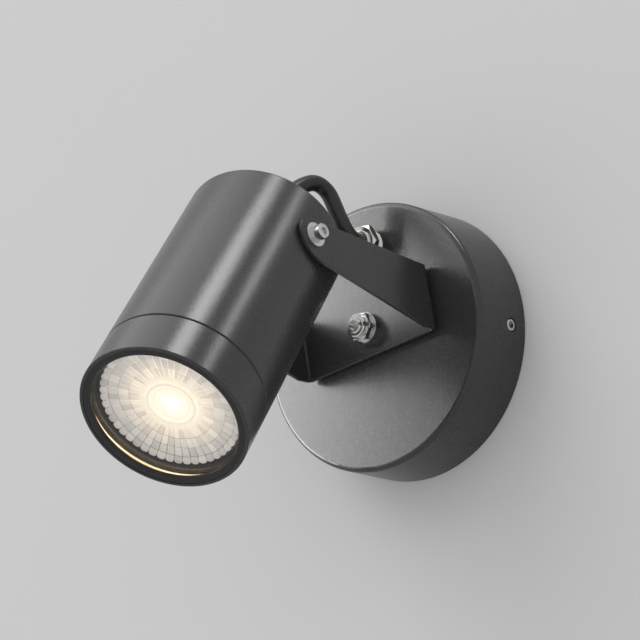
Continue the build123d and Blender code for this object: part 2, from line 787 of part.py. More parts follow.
nodes = {
    "canopy": (wall, make_canopy()),
    "wall_gasket": (wall, make_wall_gasket()),
    "wall_plate": (wall, make_wall_plate()),
    "entry_grommet": (wall, make_entry_grommet()),
    "canopy_grub_screws": (wall, make_grub_screws()),
    "terminal_block": (wall, make_terminal_block()),
    "terminal_screws": (wall, make_terminal_screws()),
    "terminal_block_screw": (wall, make_block_screw()),
    "earth_screw": (wall, make_earth_screw()),
    "swivel_bolt": (wall, make_swivel_bolt()),
    "swivel_spring_washer": (wall, make_swivel_spring_washer()),
    "swivel_spacer": (wall, at_swivel(ring(spacer_diameter, washer_hole, canopy_depth, spacer_top))),
    "swivel_flat_washer": (wall, at_swivel(ring(swivel_washer_diameter, washer_hole, yoke_face, nut_seat))),
    "swivel_nut": (wall, make_swivel_nut()),
    "canopy_gland_body": (canopy_gland, make_gland_body(canopy_face_wall)),
    "canopy_gland_cap": (canopy_gland, make_gland_cap()),
    "canopy_gland_seal": (canopy_gland, make_gland_seal(canopy_face_wall)),
    "canopy_gland_locknut": (canopy_gland, make_gland_locknut(canopy_face_wall)),
    "yoke": (swivel, make_yoke()),
    "lead": (swivel, make_lead()),
    "head_tube": (head, make_head_tube()),
    "pivot_screws": (head, at_both_pivots(make_pivot_screw())),
    "pivot_flat_washers": (
        head,
        at_both_pivots(ring(pivot_washer_diameter, pivot_hole_outer, arm_face, pivot_spring_seat)),
    ),
    "pivot_spring_washers": (head, at_both_pivots(make_pivot_spring_washer())),
    "head_oring": (head, make_oring()),
    "head_gland_body": (head_gland, make_gland_body(head_rear_wall)),
    "head_gland_cap": (head_gland, make_gland_cap()),
    "head_gland_seal": (head_gland, make_gland_seal(head_rear_wall)),
    "head_gland_locknut": (head_gland, make_gland_locknut(head_rear_wall)),
    "holder_strap": (head, make_holder_strap()),
    "strap_screws": (head, make_strap_screws()),
    "holder_screws": (head, make_holder_screws()),
    "lampholder": (head, make_lampholder()),
    "lamp_body": (head, make_lamp_body()),
    "lamp_pins": (head, make_lamp_pins()),
    "lamp_lens": (head, make_lamp_lens()),
    "bezel": (head, make_bezel()),
    "front_glass": (head, make_glass()),
    "glass_gasket": (
        head,
        ring(glass_diameter, bezel_bore, glass_back - glass_gasket_thickness, glass_back),
    ),
    "cover_ring": (head, make_cover_ring()),
}

os.makedirs("parts", exist_ok=True)
for name, (frame, shapes) in nodes.items():
    export_step(placed(frame, shapes), f"parts/{name}.step")
print(len(nodes), "nodes")
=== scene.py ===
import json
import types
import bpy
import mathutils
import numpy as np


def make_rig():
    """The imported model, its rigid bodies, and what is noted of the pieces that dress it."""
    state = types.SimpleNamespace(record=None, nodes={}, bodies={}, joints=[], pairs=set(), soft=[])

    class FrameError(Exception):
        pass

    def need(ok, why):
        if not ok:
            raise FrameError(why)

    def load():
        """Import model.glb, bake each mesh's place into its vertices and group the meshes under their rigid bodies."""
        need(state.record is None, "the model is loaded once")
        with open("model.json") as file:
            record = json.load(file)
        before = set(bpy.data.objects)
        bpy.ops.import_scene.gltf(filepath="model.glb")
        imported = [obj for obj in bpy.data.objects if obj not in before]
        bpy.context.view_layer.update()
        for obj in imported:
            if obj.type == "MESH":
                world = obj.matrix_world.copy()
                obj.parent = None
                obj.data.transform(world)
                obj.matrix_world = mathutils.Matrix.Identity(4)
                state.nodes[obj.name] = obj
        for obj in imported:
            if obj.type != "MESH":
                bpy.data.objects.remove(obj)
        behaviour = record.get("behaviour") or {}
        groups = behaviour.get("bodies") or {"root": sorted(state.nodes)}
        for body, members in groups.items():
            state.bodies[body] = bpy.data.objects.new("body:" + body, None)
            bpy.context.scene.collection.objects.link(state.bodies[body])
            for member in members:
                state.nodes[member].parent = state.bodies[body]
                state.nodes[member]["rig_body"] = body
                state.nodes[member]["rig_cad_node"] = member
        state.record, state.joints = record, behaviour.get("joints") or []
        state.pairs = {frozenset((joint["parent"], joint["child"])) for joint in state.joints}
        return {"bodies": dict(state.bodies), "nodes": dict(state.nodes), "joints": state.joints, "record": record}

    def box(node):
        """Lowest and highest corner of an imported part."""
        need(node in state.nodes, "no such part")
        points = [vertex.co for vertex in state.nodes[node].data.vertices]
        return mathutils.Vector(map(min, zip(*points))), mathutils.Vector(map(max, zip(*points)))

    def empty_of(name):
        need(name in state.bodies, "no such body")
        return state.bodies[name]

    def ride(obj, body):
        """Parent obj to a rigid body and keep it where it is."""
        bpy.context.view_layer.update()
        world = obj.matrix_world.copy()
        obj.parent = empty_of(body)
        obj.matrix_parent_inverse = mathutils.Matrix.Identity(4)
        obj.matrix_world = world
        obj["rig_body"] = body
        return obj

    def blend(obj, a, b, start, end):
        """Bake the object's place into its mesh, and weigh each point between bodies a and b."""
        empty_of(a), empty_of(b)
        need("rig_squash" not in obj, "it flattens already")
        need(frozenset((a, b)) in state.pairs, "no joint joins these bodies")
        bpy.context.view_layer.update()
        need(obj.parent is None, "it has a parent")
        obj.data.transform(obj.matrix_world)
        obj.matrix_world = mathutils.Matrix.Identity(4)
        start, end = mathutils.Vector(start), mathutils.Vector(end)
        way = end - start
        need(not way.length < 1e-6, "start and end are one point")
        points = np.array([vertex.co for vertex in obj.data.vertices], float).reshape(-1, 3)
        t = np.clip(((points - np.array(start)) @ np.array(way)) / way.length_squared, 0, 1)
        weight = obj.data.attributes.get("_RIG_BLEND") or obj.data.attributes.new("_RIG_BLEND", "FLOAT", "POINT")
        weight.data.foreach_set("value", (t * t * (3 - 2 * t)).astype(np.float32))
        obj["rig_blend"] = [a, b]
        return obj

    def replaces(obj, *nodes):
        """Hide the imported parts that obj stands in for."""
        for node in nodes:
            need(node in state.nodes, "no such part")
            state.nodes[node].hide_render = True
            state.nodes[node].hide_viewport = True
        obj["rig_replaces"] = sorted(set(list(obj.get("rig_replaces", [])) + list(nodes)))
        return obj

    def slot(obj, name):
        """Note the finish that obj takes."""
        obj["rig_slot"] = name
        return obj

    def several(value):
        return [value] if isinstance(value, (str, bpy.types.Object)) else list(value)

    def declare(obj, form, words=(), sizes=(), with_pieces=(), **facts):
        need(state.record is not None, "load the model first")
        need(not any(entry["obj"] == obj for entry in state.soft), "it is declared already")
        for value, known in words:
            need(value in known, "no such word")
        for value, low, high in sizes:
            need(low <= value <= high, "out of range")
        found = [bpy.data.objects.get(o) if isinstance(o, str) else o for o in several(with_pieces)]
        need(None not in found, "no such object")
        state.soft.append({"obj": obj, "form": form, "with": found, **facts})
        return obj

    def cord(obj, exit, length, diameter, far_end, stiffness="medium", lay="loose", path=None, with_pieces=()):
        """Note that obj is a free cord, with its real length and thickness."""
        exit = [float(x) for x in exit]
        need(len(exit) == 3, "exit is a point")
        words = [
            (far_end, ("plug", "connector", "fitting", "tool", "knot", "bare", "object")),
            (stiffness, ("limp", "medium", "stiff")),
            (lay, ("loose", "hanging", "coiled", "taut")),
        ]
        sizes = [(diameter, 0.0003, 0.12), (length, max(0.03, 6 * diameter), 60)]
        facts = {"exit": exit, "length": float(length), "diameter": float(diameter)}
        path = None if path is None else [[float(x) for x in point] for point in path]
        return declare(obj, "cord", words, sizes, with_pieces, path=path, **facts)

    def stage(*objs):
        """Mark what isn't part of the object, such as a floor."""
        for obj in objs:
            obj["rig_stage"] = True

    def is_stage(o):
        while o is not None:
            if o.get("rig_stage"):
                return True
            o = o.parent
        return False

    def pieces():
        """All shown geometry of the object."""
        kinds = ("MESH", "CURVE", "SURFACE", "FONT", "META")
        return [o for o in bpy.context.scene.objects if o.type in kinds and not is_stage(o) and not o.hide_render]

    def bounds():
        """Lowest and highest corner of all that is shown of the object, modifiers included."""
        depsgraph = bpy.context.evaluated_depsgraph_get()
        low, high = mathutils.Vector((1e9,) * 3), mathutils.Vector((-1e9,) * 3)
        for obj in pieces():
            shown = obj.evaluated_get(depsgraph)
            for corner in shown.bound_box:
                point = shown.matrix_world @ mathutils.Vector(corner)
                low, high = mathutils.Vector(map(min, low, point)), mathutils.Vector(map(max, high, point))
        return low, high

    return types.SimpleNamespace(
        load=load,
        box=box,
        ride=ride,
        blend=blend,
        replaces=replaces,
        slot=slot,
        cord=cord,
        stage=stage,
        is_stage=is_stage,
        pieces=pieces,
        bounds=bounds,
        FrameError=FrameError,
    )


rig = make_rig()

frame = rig.load()
cad_low, cad_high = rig.bounds()

import json
from math import cos, pi, radians, sin, tau

import bmesh
import bpy
from mathutils import Matrix, Vector

# Looks of the pivoting spotlight wall light. Places are in metres, in the frame of the packed
# model: +Z is up, -Y points out of the wall, and the origin is on the wall behind the canopy.

MM = 0.001
nodes = frame["nodes"]
joints = {joint["name"]: joint for joint in frame["joints"]}
level_axis = Vector((1.0, 0.0, 0.0))
depth_axis = Vector((0.0, 1.0, 0.0))
upright_axis = Vector((0.0, 0.0, 1.0))

# ---------------------------------------------------------------- frames of the moving bodies
swivel_centre = Vector(joints["yoke_swivel"]["pos_m"])
outward = Vector(joints["yoke_swivel"]["axis"])
pivot = Vector(joints["head_tilt"]["pos_m"])
across = Vector(joints["head_tilt"]["axis"])
upward = outward.cross(across)
lamp_front = Vector(joints["bezel_turn"]["axis"])


def frame_at(origin, z_axis, x_axis):
    """Matrix of a local frame in which Z runs along z_axis and X runs along x_axis."""
    y_axis = z_axis.cross(x_axis)
    turned = Matrix((x_axis, y_axis, z_axis)).transposed().to_4x4()
    return Matrix.Translation(origin) @ turned


def middle_of(node):
    low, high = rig.box(node)
    return (low + high) / 2


# ---------------------------------------------------------------- camera
camera_place = Vector((0.561686, -0.704191, -0.190846))
camera_target = Vector((-0.022498, -0.030000, 0.008941))
camera_focal_pixels = 2398.4
image_pixels = 640
sensor_width = 36.0

camera_data = bpy.data.cameras.new("camera")
camera = bpy.data.objects.new("camera", camera_data)
bpy.context.scene.collection.objects.link(camera)
camera_data.sensor_width = sensor_width
camera_data.lens = camera_focal_pixels * sensor_width / image_pixels
camera.location = camera_place
camera.rotation_euler = (camera_target - camera_place).to_track_quat("-Z", "Y").to_euler()
bpy.context.scene.camera = camera
bpy.context.scene.view_settings.view_transform = "Standard"

# ---------------------------------------------------------------- node helpers for materials
noise_low = 0.3
noise_high = 0.7


class Shader:
    """A material with one Principled shader, and short ways to add what drives its sockets."""

    def __init__(self, name, **constants):
        self.material = bpy.data.materials.new(name)
        self.material.use_nodes = True
        self.tree = self.material.node_tree
        self.principled = self.tree.nodes["Principled BSDF"]
        for socket, value in constants.items():
            self.principled.inputs[socket.replace("_", " ")].default_value = value
        self.place = self.add("ShaderNodeTexCoord").outputs["Object"]

    def add(self, kind, **settings):
        node = self.tree.nodes.new(kind)
        for key, value in settings.items():
            setattr(node, key, value)
        return node

    def link(self, output, socket):
        self.tree.links.new(output, socket)

    def drive(self, socket, output):
        self.link(output, self.principled.inputs[socket])

    def noise(self, scale, detail=2.0):
        """Noise in space, whose values lie mostly between noise_low and noise_high."""
        node = self.add("ShaderNodeTexNoise")
        self.link(self.place, node.inputs["Vector"])
        node.inputs["Scale"].default_value = scale
        node.inputs["Detail"].default_value = detail
        return node.outputs["Fac"]

    def spread(self, value, low, high, from_low=noise_low, from_high=noise_high):
        """Maps a value that lies between from_low and from_high onto low to high."""
        node = self.add("ShaderNodeMapRange")
        self.link(value, node.inputs["Value"])
        node.inputs["From Min"].default_value = from_low
        node.inputs["From Max"].default_value = from_high
        node.inputs["To Min"].default_value = low
        node.inputs["To Max"].default_value = high
        return node.outputs["Result"]

    def colours(self, value, *stops):
        """Colour ramp of two stops or more, each a position and a colour."""
        node = self.add("ShaderNodeValToRGB")
        self.link(value, node.inputs["Fac"])
        elements = node.color_ramp.elements
        while len(elements) < len(stops):
            elements.new(0.5)
        for element, (position, colour) in zip(elements, stops):
            element.position = position
            element.color = (*colour, 1.0)
        return node.outputs["Color"]

    def blotches(self, noise, first, second):
        """Colour that wanders with the noise from the first colour to the second."""
        return self.colours(noise, (noise_low, first), (noise_high, second))

    def mixed(self, share, first, second):
        node = self.add("ShaderNodeMix", data_type="RGBA")
        self.link(share, node.inputs["Factor"])
        self.link(first, node.inputs["A"])
        self.link(second, node.inputs["B"])
        return node.outputs["Result"]

    def multiplied(self, first, second):
        node = self.add("ShaderNodeMix", data_type="RGBA", blend_type="MULTIPLY")
        node.inputs["Factor"].default_value = 1.0
        self.link(first, node.inputs["A"])
        self.link(second, node.inputs["B"])
        return node.outputs["Result"]

    def bump(self, height, distance, normal=None):
        node = self.add("ShaderNodeBump")
        self.link(height, node.inputs["Height"])
        node.inputs["Distance"].default_value = distance
        if normal is not None:
            self.link(normal, node.inputs["Normal"])
        return node.outputs["Normal"]

    def radius_from_lamp_axis(self):
        """Distance of the shaded point, at rest, from the axis of the lamp."""
        from_pivot = self.add("ShaderNodeVectorMath", operation="SUBTRACT")
        self.link(self.place, from_pivot.inputs[0])
        from_pivot.inputs[1].default_value = pivot
        crossed = self.add("ShaderNodeVectorMath", operation="CROSS_PRODUCT")
        self.link(from_pivot.outputs["Vector"], crossed.inputs[0])
        crossed.inputs[1].default_value = lamp_front
        length = self.add("ShaderNodeVectorMath", operation="LENGTH")
        self.link(crossed.outputs["Vector"], length.inputs[0])
        return length.outputs["Value"]


def tinted(colour, factor):
    return tuple(channel * factor for channel in colour)


def grey(level):
    return (level, level, level)


# ---------------------------------------------------------------- materials
plain_ior = 1.5
lamp_radius = 25.0 * MM
glass_edge_start = 28.1 * MM
glass_edge_end = 28.4 * MM
glass_cover = 0.09
lens_glow = (
    (0.0, (1.0, 0.96, 0.86)),
    (0.16, (0.95, 0.84, 0.66)),
    (0.34, (0.74, 0.62, 0.46)),
    (0.60, (0.50, 0.42, 0.33)),
    (0.78, (0.30, 0.275, 0.245)),
    (1.0, (0.20, 0.19, 0.18)),
)


def paint_material():
    """Satin anthracite powder coat: a fine orange peel under a grain of small specks."""
    anthracite = (0.034, 0.034, 0.036)
    shader = Shader("paint", IOR=plain_ior)
    grain = shader.noise(scale=2400.0)
    peel = shader.noise(scale=500.0, detail=1.0)
    cloud = shader.noise(scale=38.0, detail=3.0)
    darker, paler = tinted(anthracite, 0.94), tinted(anthracite, 1.06)
    shader.drive("Base Color", shader.blotches(cloud, darker, paler))
    shader.drive("Roughness", shader.spread(grain, 0.21, 0.29))
    fine = shader.bump(grain, 0.016 * MM)
    shader.drive("Normal", shader.bump(peel, 0.02 * MM, normal=fine))
    return shader.material


def metal_material(name, colour, roughness):
    """Bare or plated metal with fine uneven wear."""
    shader = Shader(name, Metallic=1.0)
    wear = shader.noise(scale=900.0, detail=3.0)
    cloud = shader.noise(scale=160.0)
    shader.drive("Base Color", shader.blotches(cloud, tinted(colour, 0.9), colour))
    shader.drive("Roughness", shader.spread(wear, *roughness))
    shader.drive("Normal", shader.bump(wear, 0.0012 * MM))
    return shader.material


def plastic_material(name, colour, roughness, grain=0.01 * MM, scale=1500.0):
    """Plastic, rubber, foam or ceramic, with a grain of the given height and scale."""
    shader = Shader(name, IOR=plain_ior)
    fine = shader.noise(scale)
    cloud = shader.noise(scale=90.0)
    shader.drive("Base Color", shader.blotches(cloud, tinted(colour, 0.92), colour))
    shader.drive("Roughness", shader.spread(fine, *roughness))
    shader.drive("Normal", shader.bump(fine, grain))
    return shader.material


def glass_material():
    """Clear pane that reflects a little. Its edge carries a painted warm glow in place of the lamp's light caught in
    it.
    """
    shader = Shader("glass", Metallic=1.0, Roughness=0.03, Emission_Strength=1.1)
    film = shader.noise(scale=60.0)
    radius = shader.radius_from_lamp_axis()
    edge = shader.spread(radius, 0.0, 1.0, glass_edge_start, glass_edge_end)
    clear = shader.blotches(film, (0.55, 0.56, 0.56), (0.6, 0.61, 0.61))
    edge_tone = shader.colours(film, (0.0, (0.05, 0.04, 0.03)), (1.0, grey(1.0)))
    shader.drive("Base Color", shader.mixed(edge, clear, edge_tone))
    shader.drive("Alpha", shader.spread(edge, glass_cover, 1.0, 0.0, 1.0))
    # Painted glow: the edge emits warm light that stands in for the lamp's light caught in the glass.
    painted_edge_glow = shader.colours(edge, (0.0, grey(0.0)), (1.0, (1.0, 0.72, 0.36)))
    shader.drive("Emission Color", painted_edge_glow)
    return shader.material


def lens_material():
    """Clear moulded lens lit from behind, shown by its own glow: brightest in the middle, with painted light and shade
    on each facet from the shade attribute.
    """
    shader = Shader("lens", IOR=plain_ior, Roughness=0.1, Emission_Strength=1.0)
    share = shader.spread(shader.radius_from_lamp_axis(), 0.0, 1.0, 0.0, lamp_radius)
    shade = shader.add("ShaderNodeAttribute", attribute_name="shade").outputs["Color"]
    specks = shader.blotches(shader.noise(scale=1500.0), grey(0.93), grey(1.0))
    # The shade attribute multiplies both the glow and the base colour with painted light and shade.
    shaded_glow = shader.multiplied(shader.colours(share, *lens_glow), shade)
    shader.drive("Emission Color", shader.multiplied(shaded_glow, specks))
    body = shader.colours(share, (0.0, (0.9, 0.86, 0.78)), (1.0, (0.66, 0.65, 0.63)))
    shader.drive("Base Color", shader.multiplied(body, shade))
    return shader.material


materials = {
    "grey_paint": paint_material(),
    "foam": plastic_material(
        "foam", grey(0.02), roughness=(0.85, 0.95), grain=0.2 * MM, scale=1800.0),
    "zinc_steel": metal_material("zinc_steel", (0.62, 0.63, 0.64), roughness=(0.3, 0.5)),
    "black_rubber": plastic_material("black_rubber", grey(0.012), roughness=(0.6, 0.75)),
    "stainless": metal_material("stainless", (0.70, 0.70, 0.69), roughness=(0.14, 0.22)),
    "white_plastic": plastic_material("white_plastic", (0.75, 0.75, 0.72), roughness=(0.4, 0.5)),
    "brass": metal_material("brass", (0.75, 0.56, 0.27), roughness=(0.2, 0.35)),
    "black_plastic": plastic_material(
        "black_plastic", (0.008, 0.008, 0.009), roughness=(0.14, 0.2), grain=0.002 * MM),
    "nickel": metal_material("nickel", (0.74, 0.73, 0.70), roughness=(0.1, 0.2)),
    "black_cable": plastic_material(
        "black_cable", (0.018, 0.018, 0.019), roughness=(0.3, 0.38), grain=0.006 * MM),
    "white_ceramic": plastic_material("white_ceramic", (0.8, 0.79, 0.75), roughness=(0.15, 0.25)),
    "lamp_white": plastic_material("lamp_white", (0.8, 0.8, 0.79), roughness=(0.3, 0.4)),
    "lens_plastic": lens_material(),
    "glass": glass_material(),
}

for row in frame["record"]["subparts"]:
    nodes[row["node"]].data.materials[0] = materials[row["material_slot"]]


# ---------------------------------------------------------------- mesh helpers
def add_piece(name, mesh, slot, body=None, smooth=True):
    piece = bpy.data.objects.new(name, mesh)
    bpy.context.scene.collection.objects.link(piece)
    mesh.materials.append(materials[slot])
    if smooth:
        mesh.shade_smooth()
    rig.slot(piece, slot)
    if body is not None:
        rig.ride(piece, body)
    return piece


def finished(work, name):
    """Mesh of the given name from a bmesh, which it frees."""
    mesh = bpy.data.meshes.new(name)
    work.to_mesh(mesh)
    work.free()
    return mesh


# ---------------------------------------------------------------- lead
lead_diameter = 6.2 * MM
lead_sides = 32
lead_curve_order = 3
lead_curve_steps = 24
lead_held_mm = 8.5
gland_height = middle_of("canopy_gland_cap").z
head_rear_reach = 17.85 * MM


def yoke_point(across_mm, up_mm, out_mm):
    return swivel_centre + (across * across_mm + upward * up_mm + outward * out_mm) * MM


def behind_head(distance_mm):
    return pivot - lamp_front * (head_rear_reach + distance_mm * MM)


def above_gland(height_mm):
    return Vector((0.0, swivel_centre.y, gland_height)) + outward * height_mm * MM


lead_route = [
    above_gland(0.5),
    above_gland(9.6),
    yoke_point(6.0, 35.2, 13.7),
    yoke_point(5.2, 43.5, 16.0),
    yoke_point(4.4, 51.0, 17.8),
    yoke_point(3.6, 54.2, 23.5),
    yoke_point(2.0, 51.8, 30.2),
    behind_head(26.8),
    behind_head(1.0),
]


def smooth_line(points, order, steps):
    """Points along the NURBS line of the given order that has the given control points."""
    curve = bpy.data.curves.new("line", "CURVE")
    curve.dimensions = "3D"
    spline = curve.splines.new("NURBS")
    spline.points.add(len(points) - 1)
    for control, place in zip(spline.points, points):
        control.co = (*place, 1.0)
    spline.order_u = order
    spline.use_endpoint_u = True
    spline.resolution_u = steps
    holder = bpy.data.objects.new("line", curve)
    mesh = bpy.data.meshes.new_from_object(holder)
    line = [vertex.co.copy() for vertex in mesh.vertices]
    bpy.data.objects.remove(holder)
    bpy.data.curves.remove(curve)
    bpy.data.meshes.remove(mesh)
    return line


def tube_mesh(name, line, radius, sides):
    """Closed round tube whose ring centres are the points of the line."""
    work = bmesh.new()
    ahead = [(after - before).normalized() for before, after in zip(line, line[1:])]
    between = [(a + b).normalized() for a, b in zip(ahead, ahead[1:])]
    tangents = [ahead[0], *between, ahead[-1]]
    angles = [tau * index / sides for index in range(sides)]
    side = tangents[0].orthogonal().normalized()
    rings = []
    for centre, tangent in zip(line, tangents):
        side = (side - tangent * side.dot(tangent)).normalized()
        other = tangent.cross(side)
        places = [centre + (side * cos(a) + other * sin(a)) * radius for a in angles]
        rings.append([work.verts.new(place) for place in places])
    for first, second in zip(rings, rings[1:]):
        for index in range(sides):
            follow = (index + 1) % sides
            work.faces.new((first[index], first[follow], second[follow], second[index]))
    work.faces.new(reversed(rings[0]))
    work.faces.new(rings[-1])
    return finished(work, name)


def line_length(line):
    return sum((after - before).length for before, after in zip(line, line[1:]))


def middle_index(line):
    """Index of the first point of the line that is half its length or more along it."""
    half = line_length(line) / 2
    run = 0.0
    index = 0
    while run < half:
        run += (line[index + 1] - line[index]).length
        index += 1
    return index


def make_lead():
    """The lead in two halves that meet over the yoke: one bends with the swivel, the other with
    the tilt. Each follows its own body until it is clear of its gland's cap."""
    line = smooth_line(lead_route, lead_curve_order, lead_curve_steps)
    middle = middle_index(line)
    meeting = line[middle]
    clear_of_wall = above_gland(lead_held_mm)
    clear_of_head = behind_head(lead_held_mm)
    halves = {
        "lead_wall_half": (line[: middle + 1], "wall_unit", "yoke", clear_of_wall, meeting),
        "lead_head_half": (line[middle:][::-1], "head", "yoke", clear_of_head, meeting),
    }
    for name, (path, fixed_body, yoke_body, start, end) in halves.items():
        mesh = tube_mesh(name, path, lead_diameter / 2, lead_sides)
        piece = add_piece(name, mesh, "black_cable")
        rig.replaces(piece, "lead")
        length = line_length(path)
        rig.cord(piece, exit=path[0], length=length, diameter=lead_diameter, far_end="object",
                stiffness="stiff", lay="loose", path=path)
        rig.blend(piece, fixed_body, yoke_body, start=start, end=end)


make_lead()

# ---------------------------------------------------------------- lens
# In its middle a raised ring lies round rows of beads. Round that, rings of facets slope up to a
# toothed rim. Heights are measured from the pivot, and a share runs from -1 to 1 across a facet.
lens_front = 79.65 * MM
lens_back = 76.25 * MM
facets = 48
tooth_depth = 1.3 * MM
tooth_sharpness = 4
groove_depth = 0.3 * MM
facet_tilt = 0.16 * MM
facet_crown = 0.12 * MM
boss_outer = 9.0 * MM
boss_inner = 7.8 * MM
boss_height = 0.7 * MM
boss_flank = 0.1 * MM
bead_height = 0.14 * MM
bead_rows = 5
bead_circles = 30
low_bead = 0.6
core_radius = 2.4 * MM
ring_line = 0.3 * MM
ring_flank = 0.2 * MM
same_radius = 0.05 * MM
same_place = 0.002 * MM
facet_stations = (-1.0, -0.88, -0.8, -0.6, -0.3, 0.0, 0.3, 0.6, 0.8, 0.88)
inner_stations = (0.3, 0.6)
slope_radii = [radius * MM for radius in (0.0, 11.6, 15.2, 19.0, 22.5, 24.4, 25.0)]
slope_drops = [drop * MM for drop in (2.05, 2.05, 1.75, 1.4, 0.9, 0.0, 0.0)]
ring_edges = slope_radii[2:5]

# Painted light and shade on the lens, by place: a shade, and how much is added or taken by what varies there. Grooves
# and ring lines get painted shade, the line beside each groove a painted highlight, each facet its own painted
# brightness, and the side towards bright_side is painted lighter.
bright_side = radians(35.0)
core_shade = 1.0
boss_shade = 0.88
bead_shade, bead_gain = 0.86, 0.14
inner_shade, inner_gain = 0.90, 0.12
facet_shade, facet_gain = 0.78, 0.32
groove_shade, groove_gain = 0.42, 0.22
ring_shade, ring_gain = 0.72, 0.40
gleam_shade, gleam_gain = 1.45, 0.20
quick_wave, slow_wave, ring_wave = 2.4, 1.1, 1.7


def slope_height(radius):
    """Height of the lens's slope from its front, from the radii and drops of its rings."""
    stretches = zip(slope_radii, slope_radii[1:], slope_drops, slope_drops[1:])
    for low, high, low_drop, high_drop in stretches:
        if radius <= high:
            share = (radius - low) / (high - low)
            return -(low_drop * (1 - share) + high_drop * share)
    return 0.0


def bead_wave(radius, share):
    """From 0 between the beads in the lens's middle to 1 on one."""
    return abs(sin(pi * radius / boss_inner * bead_rows)) * abs(cos(pi * share / 2))


def lens_height(radius, share, facet):
    """Height of the lens's face at a radius and a share across one facet."""
    height = lens_front + slope_height(radius)
    if radius > slope_radii[1]:
        ring_radius = min(slope_radii[2:], key=lambda edge: abs(edge - radius))
        in_groove = abs(share) == 1.0 or abs(ring_radius - radius) < same_radius
        crowned = radius < slope_radii[3]
        height += facet_crown * (1 - share * share) if crowned else facet_tilt * share
        height -= groove_depth if in_groove else 0.0
    elif radius > boss_outer:
        height += bead_height * abs(sin(pi * share)) * (1 if facet % 2 else low_bead)
    elif radius > boss_inner:
        height += boss_height
    else:
        height += bead_height * bead_wave(radius, share)
    return min(height, lens_front)


def facet_variety(facet, ring):
    """A value from 0 to 1 that varies from facet to facet and from ring to ring, and sets each facet's painted
    brightness.
    """
    quick = sin(facet * quick_wave + ring * ring_wave)
    return 0.5 + 0.5 * quick * cos(facet * slow_wave - ring)


def lens_shade(radius, share, facet, angle):
    """How bright a place on the lens is, in painted light and shade: each groove between facets is painted dark and
    has a painted bright line beside it, ring lines are painted dark, beads and facet middles are painted lighter, and
    the side towards bright_side is painted lighter.
    """
    if radius < boss_inner:
        beads = bead_shade + bead_gain * bead_wave(radius, share)
        return beads if radius > core_radius else core_shade
    if radius < boss_outer:
        return boss_shade
    if radius < slope_radii[1]:
        return inner_shade + inner_gain * abs(sin(pi * share))
    ring = sum(1 for edge in ring_edges if radius > edge)
    level = facet_shade + facet_gain * facet_variety(facet, ring)
    # Painted light: the side of the lens towards bright_side is painted lighter and the other side darker.
    towards_sky = cos(angle - bright_side)
    if abs(share) == 1.0:
        level *= groove_shade + groove_gain * towards_sky
    elif min(abs(edge - radius) for edge in ring_edges) < ring_line / 2:
        level *= ring_shade + ring_gain * towards_sky
    elif share == facet_stations[1]:
        level *= gleam_shade + gleam_gain * towards_sky
    return level


def lens_radii():
    """Radii of the circles of points on the lens's face, from the middle out."""
    radii = [boss_inner * circle / bead_circles for circle in range(1, bead_circles)]
    radii += [boss_inner, boss_inner + boss_flank, boss_outer - boss_flank, boss_outer]
    for low, high in zip([boss_outer] + slope_radii[1:5], slope_radii[1:6]):
        radii.append(low + ring_flank)
        radii += [low + (high - low) * station for station in inner_stations]
        radii += [high - ring_flank, high]
    return radii


def lens_mesh():
    """Circles of points, from the middle out and round the toothed rim, joined by faces."""
    work = bmesh.new()
    to_world = frame_at(pivot, lamp_front, across)
    stations = [(facet, share) for facet in range(facets) for share in facet_stations]
    angles = [tau * (facet + (share + 1) / 2) / facets for facet, share in stations]
    teeth = [tooth_depth * abs(share) ** tooth_sharpness for facet, share in stations]
    limits = [slope_radii[5] - tooth for tooth in teeth]
    circles = []
    for radius in lens_radii():
        circle = []
        for (facet, share), limit in zip(stations, limits):
            if radius > limit:
                circle.append((limit, lens_front + slope_height(limit)))
            else:
                circle.append((radius, lens_height(radius, share, facet)))
        circles.append(circle)
    circles.append([(slope_radii[6] - tooth, lens_front) for tooth in teeth])
    circles.append([(slope_radii[6] - tooth, lens_back) for tooth in teeth])

    # The shade layer holds the painted light and shade of each place on the lens.
    painted_light_layer = work.verts.layers.float_color.new("shade")
    loops = []
    for circle in circles:
        loop = []
        for (radius, height), angle, (facet, share) in zip(circle, angles, stations):
            place = Vector((radius * cos(angle), radius * sin(angle), height))
            vertex = work.verts.new(to_world @ place)
            vertex[painted_light_layer] = (*grey(lens_shade(radius, share, facet, angle)), 1.0)
            loop.append(vertex)
        loops.append(loop)
    centre = work.verts.new(to_world @ Vector((0, 0, lens_height(0.0, 0.0, 0))))
    centre[painted_light_layer] = (*grey(core_shade), 1.0)

    count = len(stations)
    for index in range(count):
        follow = (index + 1) % count
        work.faces.new((centre, loops[0][index], loops[0][follow]))
        for inner, outer in zip(loops, loops[1:]):
            work.faces.new((inner[index], outer[index], outer[follow], inner[follow]))
    work.faces.new(reversed(loops[-1]))
    bmesh.ops.remove_doubles(work, verts=work.verts, dist=same_place)
    return finished(work, "lens_facets")


lens = add_piece("lens_facets", lens_mesh(), "lens_plastic", "head", smooth=False)
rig.replaces(lens, "lamp_lens")

# ---------------------------------------------------------------- turned pieces
thread_sides = 48
thread_steps = 10
thread_slope = 1.3
thread_crest = 0.15


